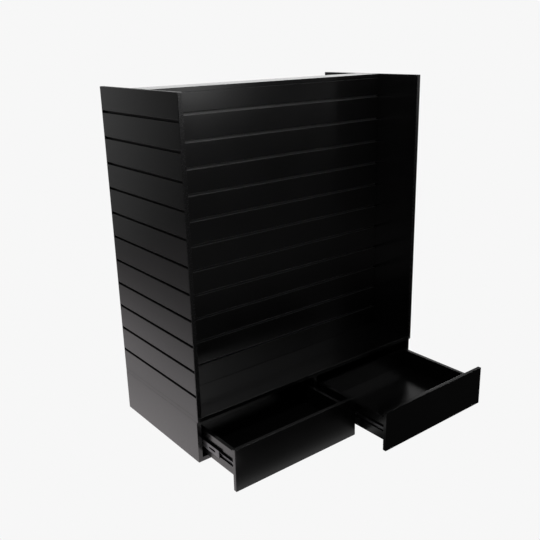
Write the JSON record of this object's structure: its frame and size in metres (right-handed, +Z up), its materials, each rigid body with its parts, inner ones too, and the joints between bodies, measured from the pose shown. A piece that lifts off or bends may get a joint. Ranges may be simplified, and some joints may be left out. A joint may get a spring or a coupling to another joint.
{
  "type": "slatwall display stand",
  "caption": "Free-standing double-sided slatwall display stand: H-plan grooved panels on a deck over a base cabinet with pull-out drawers.",
  "frame": {"origin": "on the floor at the middle of the base, under the partition", "axes": "+Z up; -Y is the front, where the drawers pull out; +X to the right as seen from the front"},
  "size_m": [1.1996, 0.9868, 1.3969],
  "materials": {
    "black_melamine": "black melamine-faced MDF board, semi-gloss with a faint fine texture",
    "black_edging": "black plastic edging, satin",
    "raw_board": "dark through-dyed MDF, uncoated, matt",
    "blackened_steel": "rolled steel strip with a dark zinc finish, satin",
    "zinc_steel": "bright zinc-plated steel, satin",
    "beech": "plain beech dowel, matt"
  },
  "bodies": {
    "stand": {"left_end_panel": "black_melamine", "right_end_panel": "black_melamine", "left_end_front_edging": "black_edging", "left_end_back_edging": "black_edging", "right_end_front_edging": "black_edging", "right_end_back_edging": "black_edging", "core_front_panel": "black_melamine", "core_back_panel": "black_melamine", "core_cap": "black_melamine", "core_sole_rail": "raw_board", "core_stud_1": "raw_board", "core_stud_2": "raw_board", "core_stud_3": "raw_board", "core_stud_4": "raw_board", "deck": "black_melamine", "base_left_side": "black_melamine", "base_right_side": "black_melamine", "base_partition": "black_melamine", "base_left_bottom": "black_melamine", "base_right_bottom": "black_melamine", "base_back": "black_melamine", "deck_dowel_left_front": "beech", "deck_dowel_left_back": "beech", "deck_dowel_right_front": "beech", "deck_dowel_right_back": "beech", "left_drawer_left_slide_outer": "blackened_steel", "left_bay_left_slide_screw": "zinc_steel", "left_drawer_right_slide_outer": "blackened_steel", "left_bay_right_slide_screw": "zinc_steel", "right_drawer_left_slide_outer": "blackened_steel", "right_bay_left_slide_screw": "zinc_steel", "right_drawer_right_slide_outer": "blackened_steel", "right_bay_right_slide_screw": "zinc_steel"},
    "left_drawer": {"left_drawer_front": "black_melamine", "left_drawer_back": "black_melamine", "left_drawer_bottom": "black_melamine", "left_drawer_left_side": "black_melamine", "left_drawer_right_side": "black_melamine", "left_drawer_left_cam": "black_edging", "left_drawer_left_slide_inner": "blackened_steel", "left_drawer_left_slide_screw": "zinc_steel", "left_drawer_right_cam": "black_edging", "left_drawer_right_slide_inner": "blackened_steel", "left_drawer_right_slide_screw": "zinc_steel"},
    "left_slide_middles": {"left_drawer_left_slide_middle": "blackened_steel", "left_drawer_right_slide_middle": "blackened_steel"},
    "right_drawer": {"right_drawer_front": "black_melamine", "right_drawer_back": "black_melamine", "right_drawer_bottom": "black_melamine", "right_drawer_left_side": "black_melamine", "right_drawer_right_side": "black_melamine", "right_drawer_left_cam": "black_edging", "right_drawer_left_slide_inner": "blackened_steel", "right_drawer_left_slide_screw": "zinc_steel", "right_drawer_right_cam": "black_edging", "right_drawer_right_slide_inner": "blackened_steel", "right_drawer_right_slide_screw": "zinc_steel"},
    "right_slide_middles": {"right_drawer_left_slide_middle": "blackened_steel", "right_drawer_right_slide_middle": "blackened_steel"}
  },
  "joints": [
    {"name": "left_drawer_slide", "type": "slide", "parent": "stand", "child": "left_drawer", "axis": [0, -1, 0], "range_m": [-0.229, 0.171]},
    {"name": "right_drawer_slide", "type": "slide", "parent": "stand", "child": "right_drawer", "axis": [0, -1, 0], "range_m": [-0.395, 0.005]},
    {"name": "left_slide_middles_travel", "type": "slide", "parent": "stand", "child": "left_slide_middles", "axis": [0, -1, 0], "range_m": [-0.1145, 0.0855]},
    {"name": "right_slide_middles_travel", "type": "slide", "parent": "stand", "child": "right_slide_middles", "axis": [0, -1, 0], "range_m": [-0.1975, 0.0025]}
  ],
  "couplings": [
    {"joint": "left_slide_middles_travel", "follows": "left_drawer_slide", "ratio": 0.5},
    {"joint": "right_slide_middles_travel", "follows": "right_drawer_slide", "ratio": 0.5}
  ]
}
